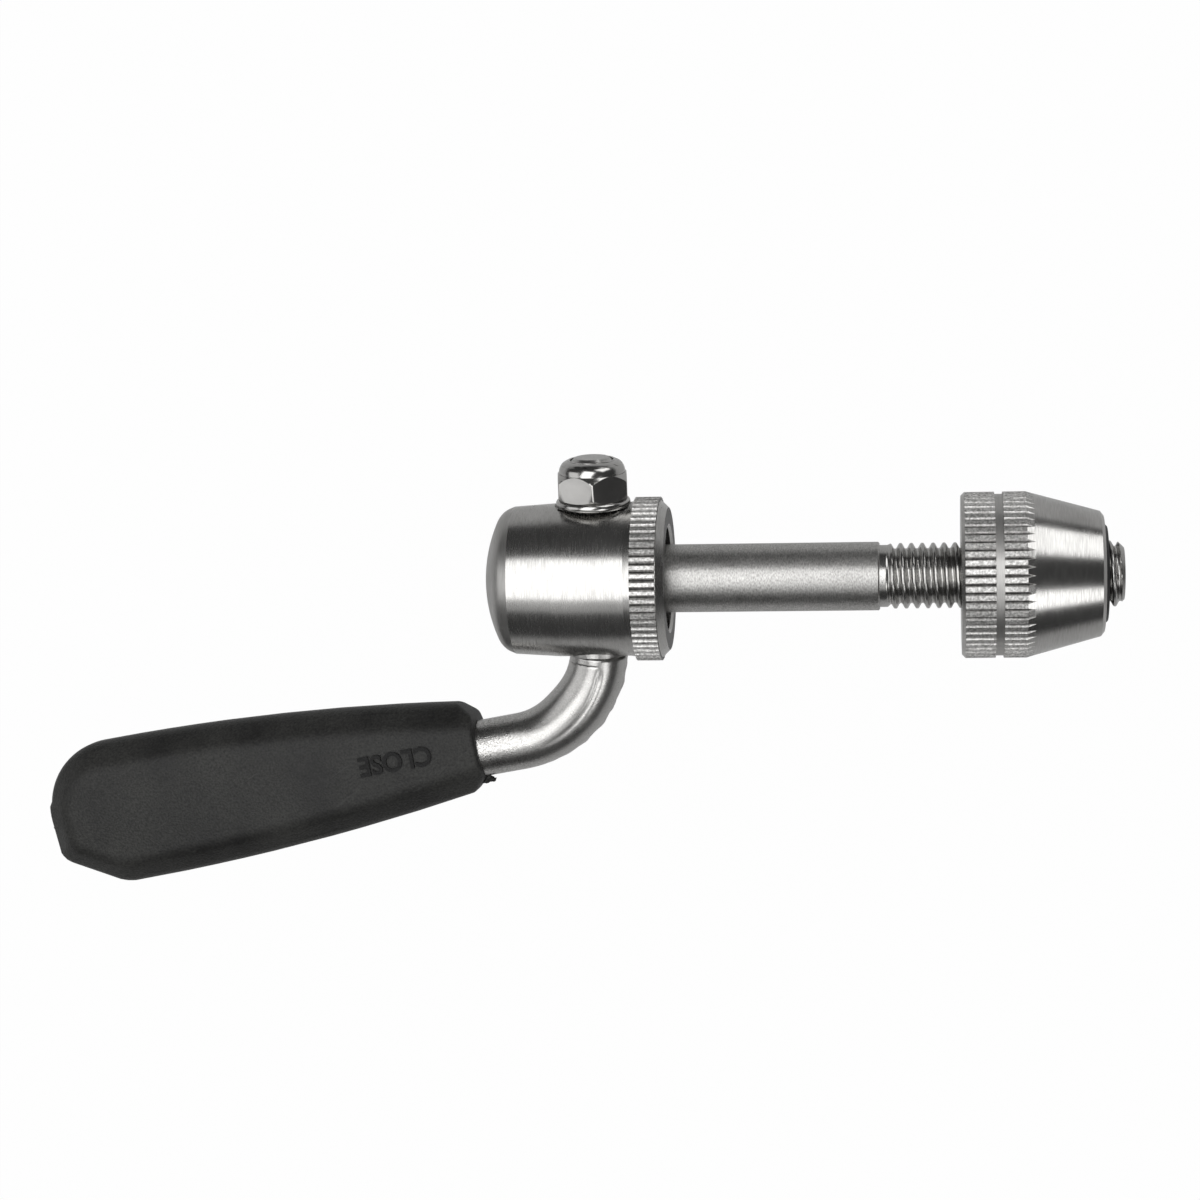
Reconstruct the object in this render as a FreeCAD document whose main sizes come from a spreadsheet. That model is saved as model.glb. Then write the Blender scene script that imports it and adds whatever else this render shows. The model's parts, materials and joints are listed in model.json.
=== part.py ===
"""Quick release seatpost clamp: an eccentric lever draws a skewer through a cup-shaped barrel.

The skewer runs along +X, with the barrel's clamp face at the origin and the adjusting nut at the far end.
The clamp lies on a table as it comes to rest, on its two knurled rings and the grip, with +Z up.
"""
import FreeCAD, Part
import Sketcher
import math
import os

# Every size of the clamp, in millimetres and degrees, each written once
SIZES = {
    # Bar that the barrel's ring and the adjusting nut are turned from, and their straight knurls
    "bar_diameter": 19.15,
    "knurl_angle": 84.0,
    "ring_knurl_depth": 0.32,
    "ring_teeth": 62,
    "nut_knurl_depth": 0.26,
    "nut_teeth": 60,
    # Barrel
    "barrel_length": 21.55,
    "barrel_step": 0.575,
    "taper_start": 12.9,
    "taper_drop": 0.33,
    "dome_depth": 3.45,
    "dome_edge_inset": 0.9,
    "dome_edge_round": 2.5,
    "crown_radius": 17.0,
    "ring_length": 3.8,
    "ring_shoulder": 0.45,
    "ring_flare": 0.8,
    "rim_length": 0.9,
    "rim_depth": 0.4,
    "rim_chamfer": 0.85,
    "bore_diameter": 12.2,
    "bore_depth": 16.8,
    "bore_chamfer": 0.3,
    "drill_point": 1.4,
    "pivot_setback": 8.65,
    "seat_depth": 0.35,
    "seat_diameter": 9.0,
    # Skewer
    "shank_diameter": 7.95,
    "shank_length": 24.3,
    "thread_diameter": 7.6,
    "thread_length": 28.0,
    "thread_chamfer": 0.8,
    "head_front": 5.75,
    "head_back": 5.85,
    "head_chamfer": 0.5,
    "head_height": 7.8,
    "head_clearance": 0.2,
    # Lever rod, with its eccentric cam between two journals
    "cam_diameter": 5.4,
    "cam_throw": 1.0,
    "cam_land": 0.1,
    "cam_clearance": 0.2,
    "cam_end_gap": 0.2,
    "journal_clearance": 0.1,
    "journal_recess": 0.3,
    "upper_journal_diameter": 5.6,
    "rod_diameter": 6.75,
    "bend_inset": 0.7,
    "bend_radius": 11.9,
    "lever_droop_angle": 10.3,
    "rod_free_length": 4.8,
    "rod_insertion": 40.0,
    "rod_end_chamfer": 0.8,
    "stud_diameter": 5.0,
    "stud_length": 5.85,
    "stud_chamfer": 0.5,
    # Grip moulded on the rod
    "grip_length": 54.7,
    "grip_thickness": 8.6,
    "grip_offset": 0.5,
    "grip_twist_angle": 8.0,
    "grip_neck_width": 11.0,
    "grip_width": 17.6,
    "grip_bevel": 2.7,
    "grip_neck_chamfer": 1.7,
    "grip_tip_setback": 8.2,
    "grip_tip_drop": 4.0,
    "grip_tip_slant": 0.9,
    "grip_corner_setback": 9.7,
    "grip_corner_round": 8.0,
    "moulding_gap": 0.03,
    # Washer and nylon insert lock nut on the stud
    "running_gap": 0.05,
    "washer_diameter": 8.7,
    "washer_thickness": 1.0,
    "washer_edge": 0.25,
    "thread_gap": 0.05,
    "hex_across_flats": 8.0,
    "hex_turn_angle": 7.0,
    "hex_height": 3.1,
    "hex_top_angle": 55.0,
    "hex_foot_angle": 30.0,
    "collar_diameter": 7.7,
    "collar_height": 1.5,
    "collar_round": 0.8,
    "collar_lip": 0.25,
    "lock_ring_diameter": 6.1,
    "lock_ring_thickness": 1.1,
    # Adjusting nut and its nylon locking ring
    "nut_setback": 33.8,
    "nut_length": 16.2,
    "nut_edge_chamfer": 0.4,
    "nut_knurl_length": 7.35,
    "nut_groove_offset": 4.3,
    "nut_groove_width": 0.95,
    "nut_groove_depth": 0.26,
    "nut_cone_angle": 15.6,
    "nut_end_chamfer": 0.4,
    "nut_countersink": 0.5,
    "nut_end_wall": 1.35,
    "locking_ring_thickness": 3.0,
    "locking_ring_proud": 0.4,
    "locking_ring_gap": 0.05,
    "locking_ring_chamfer": 0.25,
}

# Lengths and volumes closer than this are the same, and a curved edge is tested at so many points
SAME = 1e-4
EDGE_POINTS = 9

doc = FreeCAD.newDocument("seatpost_clamp")
sheet = doc.addObject("Spreadsheet::Sheet", "dims")
for row, (alias, number) in enumerate(SIZES.items(), start=1):
    sheet.set(f"A{row}", alias)
    sheet.set(f"B{row}", str(number))
    sheet.setAlias(f"B{row}", alias)
doc.recompute()


def size(alias):
    """A driving dimension as a plain number, read from the sheet."""
    return float(sheet.get(alias))


def new_body(label):
    body = doc.addObject("PartDesign::Body", label)
    body.Label = label
    return body


def new_sketch(body, name, plane, lift=None):
    """A sketch on one of the body's own origin planes, lifted off it by an expression."""
    sketch = body.newObject("Sketcher::SketchObject", name)
    origin_plane = next(part for part in body.Origin.OriginFeatures if part.Role == plane)
    sketch.AttachmentSupport = [(origin_plane, "")]
    sketch.MapMode = "FlatFace"
    if lift:
        sketch.setExpression("AttachmentOffset.Base.z", lift)
    return sketch


def fix_place(sketch, kind, edge, end, text, rough=1.0):
    """Tie a point of a sketch edge to one coordinate, given as an expression."""
    if text == "0":
        axis = -2 if kind == "DistanceX" else -1
        sketch.addConstraint(Sketcher.Constraint("PointOnObject", edge, end, axis))
    else:
        index = sketch.addConstraint(Sketcher.Constraint(kind, -1, 1, edge, end, rough))
        sketch.setExpression(f"Constraints[{index}]", text)


def fix_point(sketch, edge, end, across, up, rough=FreeCAD.Vector(1, 1, 0)):
    """Tie a point of a sketch edge to both its coordinates."""
    fix_place(sketch, "DistanceX", edge, end, across, rough.x)
    fix_place(sketch, "DistanceY", edge, end, up, rough.y)


def join_ends(sketch, first, count):
    """Close a run of sketch edges into one loop."""
    for step in range(count):
        following = first + (step + 1) % count
        sketch.addConstraint(Sketcher.Constraint("Coincident", first + step, 2, following, 1))


def draw_outline(sketch, points):
    """A closed outline of straight edges through points given as pairs of expressions."""
    count = len(points)
    first = sketch.GeometryCount
    turn = math.tau / count
    rough = [FreeCAD.Vector(math.cos(turn * step), math.sin(turn * step), 0) for step in range(count)]
    for step in range(count):
        sketch.addGeometry(Part.LineSegment(rough[step], rough[(step + 1) % count]), False)
    join_ends(sketch, first, count)
    for step, (across, up) in enumerate(points):
        fix_point(sketch, first + step, 1, across, up)


def draw_circle(sketch, across, up, diameter):
    circle = sketch.addGeometry(Part.Circle(), False)
    fix_point(sketch, circle, 3, across, up)
    index = sketch.addConstraint(Sketcher.Constraint("Diameter", circle, 2.0))
    sketch.setExpression(f"Constraints[{index}]", diameter)


def revolve(body, name, sketch, axis, cut=False):
    """Turn a profile about the sketch's own axis, adding metal or cutting a groove."""
    kind = "PartDesign::Groove" if cut else "PartDesign::Revolution"
    feature = body.newObject(kind, name)
    feature.Profile = sketch
    feature.ReferenceAxis = (sketch, [axis])
    feature.Angle = 360.0
    doc.recompute()
    return feature


def pad(body, name, sketch, length, midplane=False):
    feature = body.newObject("PartDesign::Pad", name)
    feature.Profile = sketch
    feature.setExpression("Length", length)
    feature.Midplane = midplane
    doc.recompute()
    return feature


def pocket(body, name, sketch, length, reverse=False, midplane=False):
    """Cut a profile into the body, and make sure that it took metal away."""
    before = body.Shape.Volume
    feature = body.newObject("PartDesign::Pocket", name)
    feature.Profile = sketch
    feature.setExpression("Length", length)
    feature.Reversed = reverse
    feature.Midplane = midplane
    doc.recompute()
    if feature.Shape.Volume > before - SAME:
        raise ValueError(f"{name} cuts nothing")
    return feature


def round_about(body, feature, count):
    """Repeat a feature in a full turn about the skewer's axis."""
    pattern = body.newObject("PartDesign::PolarPattern", feature.Name + "_turn")
    pattern.Originals = [feature]
    x_axis = next(part for part in body.Origin.OriginFeatures if part.Role == "X_Axis")
    pattern.Axis = (x_axis, [""])
    pattern.Angle = 360.0
    pattern.setExpression("Occurrences", count)
    body.Tip = pattern
    doc.recompute()
    return pattern


def circle_edges(feature, axis, place, radius):
    """Names of the round edges of one radius at one place along an axis."""
    found = []
    for number, edge in enumerate(feature.Shape.Edges, start=1):
        if edge.Degenerated or edge.Curve.TypeId != "Part::GeomCircle":
            continue
        off_place = abs(getattr(edge.Curve.Center, axis) - place)
        if off_place < SAME and abs(edge.Curve.Radius - radius) < SAME:
            found.append(f"Edge{number}")
    return found


def dress(body, kind, name, base, parts, amount):
    """A fillet or chamfer of one size on named edges or faces."""
    feature = body.newObject(f"PartDesign::{kind}", name)
    feature.Base = (base, parts)
    feature.setExpression("Radius" if kind == "Fillet" else "Size", amount)
    doc.recompute()
    return feature


def cut_knurl(body, name, start, length, depth, teeth):
    """One V notch along the skewer's direction, deep as the knurl, repeated round the ring."""
    notch = new_sketch(body, name + "_notch", "YZ_Plane", start)
    above = f"dims.bar_diameter / 2 + {depth}"
    half = f"2 * {depth} * tan(dims.knurl_angle * 1deg / 2)"
    root = f"dims.bar_diameter / 2 - {depth}"
    draw_outline(notch, [("0", root), (half, above), ("-" + half, above)])
    first = pocket(body, name, notch, length, reverse=True)
    return round_about(body, first, teeth)


# The cam lies just inside the lower journal, so that the rod can be pushed in from below
JOURNAL_DIAMETER = "(dims.cam_diameter + 2 * (dims.cam_throw + dims.cam_land))"

# Places along the pivot: half the cam, the washer's seat, the feet of stud, washer and lock nut,
# the lower journal's end and the start of the rod's bend inside it
BARREL_RADIUS = "(dims.bar_diameter / 2 - dims.barrel_step)"
CAM_HALF = "(dims.head_height / 2 + dims.cam_end_gap)"
WASHER_SEAT = f"({BARREL_RADIUS} - dims.seat_depth)"
STUD_FOOT = f"({WASHER_SEAT} + dims.running_gap)"
NUT_FOOT = f"({STUD_FOOT} + dims.washer_thickness)"
JOURNAL_END = f"({BARREL_RADIUS} - dims.journal_recess)"
BEND_START = f"({JOURNAL_END} - dims.bend_inset)"

# Radius of the adjusting nut's cone at its small end, and of the locking ring inside it
CONE_LENGTH = "(dims.nut_length - dims.nut_knurl_length)"
CONE_END = f"(dims.bar_diameter / 2 - {CONE_LENGTH} * tan(dims.nut_cone_angle * 1deg))"
LOCKING_RING = f"({CONE_END} - dims.nut_end_wall - dims.locking_ring_gap)"


def make_cam_barrel():
    """Turned steel cup: domed end, blind bore for the skewer's head, knurled ring at the clamp face."""
    body = new_body("cam_barrel")
    profile = new_sketch(body, "barrel_profile", "XY_Plane")
    ring = "dims.bar_diameter / 2"
    rim = "dims.bar_diameter / 2 - dims.rim_depth"
    flare_end = "-(dims.ring_length + dims.ring_flare)"
    bore = "dims.bore_diameter / 2"
    dome_edge = f"({BARREL_RADIUS} - dims.dome_edge_inset)"
    crown_centre = "-(dims.barrel_length - dims.crown_radius)"
    crown_foot = f"{crown_centre} - sqrt(dims.crown_radius ^ 2 - {dome_edge} ^ 2)"
    draw_outline(profile, [
        (crown_foot, "0"),
        (crown_foot, dome_edge),
        ("-(dims.barrel_length - dims.dome_depth)", f"{BARREL_RADIUS} - dims.taper_drop"),
        ("-dims.taper_start", BARREL_RADIUS),
        (flare_end, BARREL_RADIUS),
        ("-dims.ring_length", f"{ring} - dims.ring_shoulder"),
        ("-dims.ring_length", ring),
        ("-dims.rim_length", ring),
        ("-dims.rim_length", rim),
        ("-dims.rim_chamfer", rim),
        ("0", f"{rim} - dims.rim_chamfer"),
        ("0", f"{bore} + dims.bore_chamfer"),
        ("-dims.bore_chamfer", bore),
        ("-dims.bore_depth", bore),
        ("-(dims.bore_depth + dims.drill_point)", "0"),
    ])
    revolve(body, "barrel_cup", profile, "H_Axis")

    # The crown is a cap of a ball on the cup's end, its edge rounded over to the side's taper
    radius = size("crown_radius")
    edge_radius = size("bar_diameter") / 2 - size("barrel_step") - size("dome_edge_inset")
    slope = math.asin(edge_radius / radius)
    centre = FreeCAD.Vector(radius - size("barrel_length"), 0, 0)
    end = FreeCAD.Vector(-size("barrel_length"), 0, 0)
    foot = centre - FreeCAD.Vector(radius * math.cos(slope), 0, 0)
    edge = foot + FreeCAD.Vector(0, edge_radius, 0)
    cap = new_sketch(body, "crown_profile", "XY_Plane")
    ball = Part.Circle(centre, FreeCAD.Vector(0, 0, 1), radius)
    cap.addGeometry(Part.ArcOfCircle(ball, math.pi - slope, math.pi), False)
    cap.addGeometry(Part.LineSegment(end, foot), False)
    cap.addGeometry(Part.LineSegment(foot, edge), False)
    join_ends(cap, 0, 3)
    fix_point(cap, 0, 1, crown_foot, dome_edge, edge)
    fix_point(cap, 1, 1, "-dims.barrel_length", "0", end)
    fix_point(cap, 2, 1, crown_foot, "0", foot)
    fix_place(cap, "DistanceX", 0, 3, crown_centre, centre.x)
    crown = revolve(body, "barrel_crown", cap, "H_Axis")
    dome = circle_edges(crown, "x", foot.x, edge_radius)
    dress(body, "Fillet", "barrel_dome", crown, dome, "dims.dome_edge_round")

    reach = "dims.bar_diameter"
    lower = new_sketch(body, "lower_hole_outline", "XZ_Plane")
    lower_bore = f"{JOURNAL_DIAMETER} + 2 * dims.journal_clearance"
    draw_circle(lower, "-dims.pivot_setback", "0", lower_bore)
    pocket(body, "lower_hole", lower, reach, reverse=True)
    upper = new_sketch(body, "upper_hole_outline", "XZ_Plane")
    upper_bore = "dims.upper_journal_diameter + 2 * dims.journal_clearance"
    draw_circle(upper, "-dims.pivot_setback", "0", upper_bore)
    pocket(body, "upper_hole", upper, reach)
    seat = new_sketch(body, "washer_seat_outline", "XZ_Plane", "-" + WASHER_SEAT)
    draw_circle(seat, "-dims.pivot_setback", "0", "dims.seat_diameter")
    pocket(body, "washer_seat_cut", seat, reach)
    cut_knurl(body, "ring_knurl", "-dims.ring_length", "dims.ring_length",
              "dims.ring_knurl_depth", "dims.ring_teeth")
    return body


def make_skewer():
    """Steel bolt whose head has two flats and a slot for the cam, with a rolled thread at the nut end."""
    body = new_body("skewer")
    profile = new_sketch(body, "skewer_profile", "XY_Plane")
    back = "-(dims.pivot_setback + dims.head_back)"
    front = "-(dims.pivot_setback - dims.head_front)"
    head = "dims.bore_diameter / 2 - dims.head_clearance"
    thread_step = "(dims.shank_diameter - dims.thread_diameter) / 2"
    tip = "dims.shank_length + dims.thread_length"
    draw_outline(profile, [
        (back, "0"),
        (back, f"{head} - dims.head_chamfer"),
        (f"{back} + dims.head_chamfer", head),
        (f"{front} - dims.head_chamfer", head),
        (front, f"{head} - dims.head_chamfer"),
        (front, "dims.shank_diameter / 2"),
        ("dims.shank_length", "dims.shank_diameter / 2"),
        (f"dims.shank_length + {thread_step}", "dims.thread_diameter / 2"),
        (f"{tip} - dims.thread_chamfer", "dims.thread_diameter / 2"),
        (tip, "dims.thread_diameter / 2 - dims.thread_chamfer"),
        (tip, "0"),
    ])
    revolve(body, "skewer_bolt", profile, "H_Axis")

    flats = new_sketch(body, "head_flats_outline", "XY_Plane")
    behind = f"{back} - dims.head_chamfer"
    flat = "dims.head_height / 2"
    clear = "dims.bore_diameter"
    for low, high in ((flat, clear), ("-" + clear, "-" + flat)):
        draw_outline(flats, [(behind, low), (front, low), (front, high), (behind, high)])
    pocket(body, "head_flats", flats, "2 * dims.bore_diameter", midplane=True)
    slot = new_sketch(body, "cam_slot_outline", "XZ_Plane")
    half_width = "(dims.cam_diameter / 2 + dims.cam_clearance)"
    half_length = "(dims.cam_throw + dims.cam_diameter / 2 + dims.cam_clearance)"
    draw_outline(slot, [
        (f"-dims.pivot_setback - {half_width}", f"-{half_length}"),
        (f"-dims.pivot_setback + {half_width}", f"-{half_length}"),
        (f"-dims.pivot_setback + {half_width}", half_length),
        (f"-dims.pivot_setback - {half_width}", half_length),
    ])
    pocket(body, "cam_slot", slot, "2 * dims.bore_diameter", midplane=True)
    return body


def make_lever_rod():
    """Forged steel rod: threaded stud, upper journal, eccentric cam, lower journal, bend and grip shank."""
    body = new_body("lever_rod")
    cam = new_sketch(body, "cam_outline", "XZ_Plane")
    draw_circle(cam, "0", "dims.cam_throw", "dims.cam_diameter")
    pad(body, "cam", cam, f"2 * {CAM_HALF}", midplane=True)

    upper = new_sketch(body, "upper_profile", "XY_Plane")
    stud_end = f"{STUD_FOOT} + dims.stud_length"
    draw_outline(upper, [
        ("0", CAM_HALF),
        ("dims.upper_journal_diameter / 2", CAM_HALF),
        ("dims.upper_journal_diameter / 2", STUD_FOOT),
        ("dims.stud_diameter / 2", STUD_FOOT),
        ("dims.stud_diameter / 2", f"{stud_end} - dims.stud_chamfer"),
        ("dims.stud_diameter / 2 - dims.stud_chamfer", stud_end),
        ("0", stud_end),
    ])
    revolve(body, "upper_journal", upper, "V_Axis")
    lower = new_sketch(body, "lower_profile", "XY_Plane")
    draw_outline(lower, [
        ("0", f"-{CAM_HALF}"),
        (f"{JOURNAL_DIAMETER} / 2", f"-{CAM_HALF}"),
        (f"{JOURNAL_DIAMETER} / 2", f"-{JOURNAL_END}"),
        ("0", f"-{JOURNAL_END}"),
    ])
    revolve(body, "lower_journal", lower, "V_Axis")

    turn_centre, turn_end, rod_end = rod_route()
    route = new_sketch(body, "rod_route", "XY_Plane")
    droop = math.radians(size("lever_droop_angle"))
    bend = Part.ArcOfCircle(Part.Circle(turn_centre, FreeCAD.Vector(0, 0, 1), size("bend_radius")),
                            droop - math.pi / 2, 0.0)
    route.addGeometry(bend, False)
    route.addGeometry(Part.LineSegment(turn_end, rod_end), False)
    fix_point(route, 0, 2, "0", f"-{BEND_START}", turn_centre)
    fix_point(route, 0, 3, "-dims.bend_radius", f"-{BEND_START}", turn_centre)
    route.addConstraint(Sketcher.Constraint("Tangent", 0, 1, 1, 1))
    slope = route.addConstraint(Sketcher.Constraint("Angle", -1, 1, 1, 2, droop))
    route.setExpression(f"Constraints[{slope}]", "dims.lever_droop_angle * 1deg")
    run = route.addConstraint(Sketcher.Constraint("Distance", 1, (rod_end - turn_end).Length))
    route.setExpression(f"Constraints[{run}]", "dims.rod_free_length + dims.rod_insertion")
    section = new_sketch(body, "rod_section", "XZ_Plane", BEND_START)
    draw_circle(section, "0", "0", "dims.rod_diameter")
    rod = body.newObject("PartDesign::AdditivePipe", "rod_bend")
    rod.Profile = section
    rod.Spine = route
    doc.recompute()
    flat_faces = [face for face in rod.Shape.Faces if face.Surface.TypeId == "Part::GeomPlane"]
    far_face = min(flat_faces, key=lambda face: face.CenterOfMass.x)
    end_edges = [f"Edge{number}" for number, edge in enumerate(rod.Shape.Edges, start=1)
                 if any(edge.isSame(other) for other in far_face.Edges)]
    dress(body, "Chamfer", "rod_end", rod, end_edges, "dims.rod_end_chamfer")
    return body


def rod_route():
    """The rod's centre line from the pivot: its bend's centre and end, and its far end."""
    droop = math.radians(size("lever_droop_angle"))
    radius = size("bend_radius")
    barrel_radius = size("bar_diameter") / 2 - size("barrel_step")
    drop = barrel_radius - size("journal_recess") - size("bend_inset")
    run = size("rod_free_length") + size("rod_insertion")
    turn_centre = FreeCAD.Vector(-radius, -drop, 0)
    turn_end = turn_centre + FreeCAD.Vector(math.sin(droop), -math.cos(droop), 0) * radius
    rod_end = turn_end - FreeCAD.Vector(math.cos(droop), math.sin(droop), 0) * run
    return turn_centre, turn_end, rod_end


def rough_grip():
    """Corners of the grip's outline, anticlockwise from where the upper long side leaves the rod's end."""
    neck = size("grip_neck_width") / 2
    broad = size("grip_width") / 2
    length = size("grip_length")
    chamfer = size("grip_neck_chamfer")
    return [
        FreeCAD.Vector(-chamfer, neck, 0),
        FreeCAD.Vector(-(length - size("grip_corner_setback")), broad, 0),
        FreeCAD.Vector(-length, broad, 0),
        FreeCAD.Vector(-(length - size("grip_tip_slant")), -(broad - size("grip_tip_drop")), 0),
        FreeCAD.Vector(-(length - size("grip_tip_setback")), -broad, 0),
        FreeCAD.Vector(-chamfer, -neck, 0),
        FreeCAD.Vector(0, -(neck - chamfer), 0),
        FreeCAD.Vector(0, neck - chamfer, 0),
    ]


def make_lever_grip():
    """Moulded plastic grip, broad and bevelled towards its tip, with a plain mouth closed over the rod.

    Its own origin is the middle of its mouth, with the tip towards -X, and the rod goes in beside it.
    """
    body = new_body("lever_grip")
    outline = new_sketch(body, "grip_outline", "XY_Plane")
    neck = "dims.grip_neck_width / 2"
    broad = "dims.grip_width / 2"
    shoulder = "-(dims.grip_length - dims.grip_corner_setback)"
    bevel = "-(dims.grip_length - dims.grip_tip_setback)"
    corners = [
        ("-dims.grip_neck_chamfer", neck),
        (shoulder, broad),
        ("-dims.grip_length", broad),
        ("-(dims.grip_length - dims.grip_tip_slant)", f"-({broad} - dims.grip_tip_drop)"),
        (bevel, f"-{broad}"),
        ("-dims.grip_neck_chamfer", f"-{neck}"),
        ("0", f"-({neck} - dims.grip_neck_chamfer)"),
        ("0", f"{neck} - dims.grip_neck_chamfer"),
    ]
    rough = rough_grip()
    upper_side, lower_side = 0, 4
    for step, start in enumerate(rough):
        end = rough[(step + 1) % len(rough)]
        if step in (upper_side, lower_side):
            bow = FreeCAD.Vector(0, math.copysign(abs(end.y - start.y) / 4, start.y), 0)
            outline.addGeometry(Part.Arc(start, (start + end) / 2 + bow, end), False)
        else:
            outline.addGeometry(Part.LineSegment(start, end), False)
    join_ends(outline, 0, len(corners))
    for step, (across, up) in enumerate(corners):
        fix_point(outline, step, 1, across, up, rough[step])
    fix_place(outline, "DistanceX", upper_side, 3, shoulder, rough[1].x)
    fix_place(outline, "DistanceX", lower_side, 3, bevel, rough[4].x)
    block = pad(body, "grip_block", outline, "dims.grip_thickness", midplane=True)

    corner_place = FreeCAD.Vector(-size("grip_length"), size("grip_width") / 2, 0)
    corner = [f"Edge{number}" for number, edge in enumerate(block.Shape.Edges, start=1)
              if edge.CenterOfMass.isEqual(corner_place, SAME)]
    rounded = dress(body, "Fillet", "grip_corner", block, corner, "dims.grip_corner_round")
    sides = [f"Edge{number}" for number, edge in enumerate(rounded.Shape.Edges, start=1)
             if abs(abs(edge.CenterOfMass.z) - size("grip_thickness") / 2) < SAME
             and edge.CenterOfMass.x < -size("grip_neck_chamfer")]
    dress(body, "Chamfer", "grip_bevels", rounded, sides, "dims.grip_bevel")
    socket = new_sketch(body, "socket_outline", "YZ_Plane")
    draw_circle(socket, "-dims.grip_offset", "0", "dims.rod_diameter + 2 * dims.moulding_gap")
    pocket(body, "rod_socket", socket, "dims.rod_insertion + dims.moulding_gap")
    return body


def make_lock_washer():
    """Plain steel washer between the barrel's seat and the lock nut, with its outer edges broken."""
    body = new_body("lock_washer")
    profile = new_sketch(body, "washer_profile", "XY_Plane")
    inner = "dims.stud_diameter / 2 + dims.thread_gap"
    outer = "dims.washer_diameter / 2"
    draw_outline(profile, [
        (inner, STUD_FOOT),
        (outer, STUD_FOOT),
        (outer, NUT_FOOT),
        (inner, NUT_FOOT),
    ])
    ring = revolve(body, "washer_ring", profile, "V_Axis")
    foot = size("bar_diameter") / 2 - size("barrel_step") - size("seat_depth") + size("running_gap")
    edges = circle_edges(ring, "y", foot, size("washer_diameter") / 2)
    edges += circle_edges(ring, "y", foot + size("washer_thickness"), size("washer_diameter") / 2)
    dress(body, "Chamfer", "washer_edges", ring, edges, "dims.washer_edge")
    return body


def make_lock_nut():
    """Steel hexagon nut with a collar rolled over its nylon ring."""
    body = new_body("lock_nut")
    hexagon = new_sketch(body, "hexagon_outline", "XZ_Plane", f"-{NUT_FOOT}")
    corner = "dims.hex_across_flats / sqrt(3)"
    flat = "dims.hex_across_flats / 2"
    draw_outline(hexagon, [
        ("0", corner),
        (f"-{flat}", f"{corner} / 2"),
        (f"-{flat}", f"-{corner} / 2"),
        ("0", f"-{corner}"),
        (flat, f"-{corner} / 2"),
        (flat, f"{corner} / 2"),
    ])
    block = pad(body, "hexagon", hexagon, "dims.hex_height")
    block.Reversed = True
    doc.recompute()

    collar = new_sketch(body, "collar_profile", "XY_Plane")
    hex_top = f"({NUT_FOOT} + dims.hex_height)"
    rim = f"{hex_top} + dims.collar_height"
    outer = "dims.collar_diameter / 2"
    draw_outline(collar, [
        ("0", NUT_FOOT),
        (outer, NUT_FOOT),
        (outer, f"{rim} - dims.collar_round"),
        (f"{outer} - dims.collar_round", rim),
        ("0", rim),
    ])
    revolve(body, "collar", collar, "V_Axis")

    chamfers = new_sketch(body, "corner_chamfers", "XY_Plane")
    reach = "dims.hex_across_flats"
    draw_outline(chamfers, [
        (flat, hex_top),
        (reach, f"{hex_top} - ({reach} - {flat}) * tan(dims.hex_top_angle * 1deg)"),
        (reach, hex_top),
    ])
    draw_outline(chamfers, [
        (flat, NUT_FOOT),
        (reach, NUT_FOOT),
        (reach, f"{NUT_FOOT} + ({reach} - {flat}) * tan(dims.hex_foot_angle * 1deg)"),
    ])
    revolve(body, "corner_chamfer_cut", chamfers, "V_Axis", cut=True)

    bore = new_sketch(body, "nut_bore_profile", "XY_Plane")
    thread = "dims.stud_diameter / 2 + dims.thread_gap"
    ring = "dims.lock_ring_diameter / 2"
    ring_top = f"({rim} - dims.collar_lip)"
    ring_foot = f"({ring_top} - dims.lock_ring_thickness)"
    draw_outline(bore, [
        ("0", NUT_FOOT),
        (thread, NUT_FOOT),
        (thread, ring_foot),
        (ring, ring_foot),
        (ring, ring_top),
        (f"{ring} - dims.collar_lip", ring_top),
        (f"{ring} - dims.collar_lip", rim),
        ("0", rim),
    ])
    revolve(body, "nut_bore", bore, "V_Axis", cut=True)
    return body


def make_lock_nut_insert():
    """Nylon ring held inside the lock nut's collar."""
    body = new_body("lock_nut_insert")
    profile = new_sketch(body, "lock_ring_profile", "XY_Plane")
    inner = "dims.stud_diameter / 2 + dims.thread_gap"
    outer = "dims.lock_ring_diameter / 2"
    top = f"({NUT_FOOT} + dims.hex_height + dims.collar_height - dims.collar_lip)"
    draw_outline(profile, [
        (inner, f"{top} - dims.lock_ring_thickness"),
        (outer, f"{top} - dims.lock_ring_thickness"),
        (outer, top),
        (inner, top),
    ])
    revolve(body, "lock_ring", profile, "V_Axis")
    return body


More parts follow.
